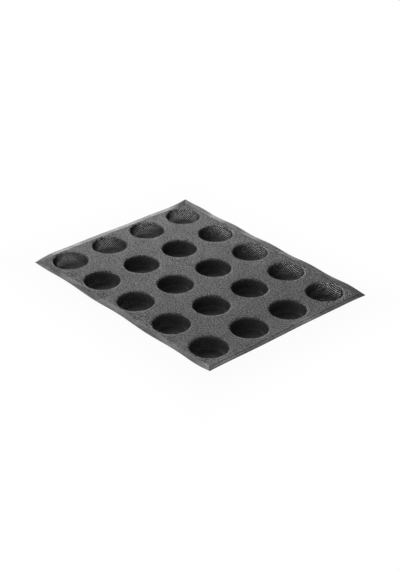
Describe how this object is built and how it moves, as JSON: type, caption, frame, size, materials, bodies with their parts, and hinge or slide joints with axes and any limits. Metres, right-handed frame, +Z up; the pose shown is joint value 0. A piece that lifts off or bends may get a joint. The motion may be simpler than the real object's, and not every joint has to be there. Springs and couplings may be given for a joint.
{
  "type": "silicone baking mould",
  "caption": "Flexible black baking mould: an open-mesh silicone sheet with a grid of round drafted cups and a smooth wrapped hem, its loose edge gently curled.",
  "frame": {"origin": "under the middle of the sheet, on the surface that the cups stand on", "axes": "+X along the long side, +Y along the short side towards the back, +Z up out of the cups"},
  "size_m": [0.4, 0.3, 0.0236],
  "materials": {
    "mesh_silicone": "matte",
    "cup_silicone": "matte",
    "hem_silicone": "satin"
  },
  "bodies": {
    "root": {"deck_sheet": "mesh_silicone", "cup_r1_c1": "cup_silicone", "cup_r1_c2": "cup_silicone", "cup_r1_c3": "cup_silicone", "cup_r1_c4": "cup_silicone", "cup_r1_c5": "cup_silicone", "cup_r2_c1": "cup_silicone", "cup_r2_c2": "cup_silicone", "cup_r2_c3": "cup_silicone", "cup_r2_c4": "cup_silicone", "cup_r2_c5": "cup_silicone", "cup_r3_c1": "cup_silicone", "cup_r3_c2": "cup_silicone", "cup_r3_c3": "cup_silicone", "cup_r3_c4": "cup_silicone", "cup_r3_c5": "cup_silicone", "cup_r4_c1": "cup_silicone", "cup_r4_c2": "cup_silicone", "cup_r4_c3": "cup_silicone", "cup_r4_c4": "cup_silicone", "cup_r4_c5": "cup_silicone", "hem_front": "hem_silicone", "hem_back": "hem_silicone", "hem_left": "hem_silicone", "hem_right": "hem_silicone"}
  },
  "joints": []
}
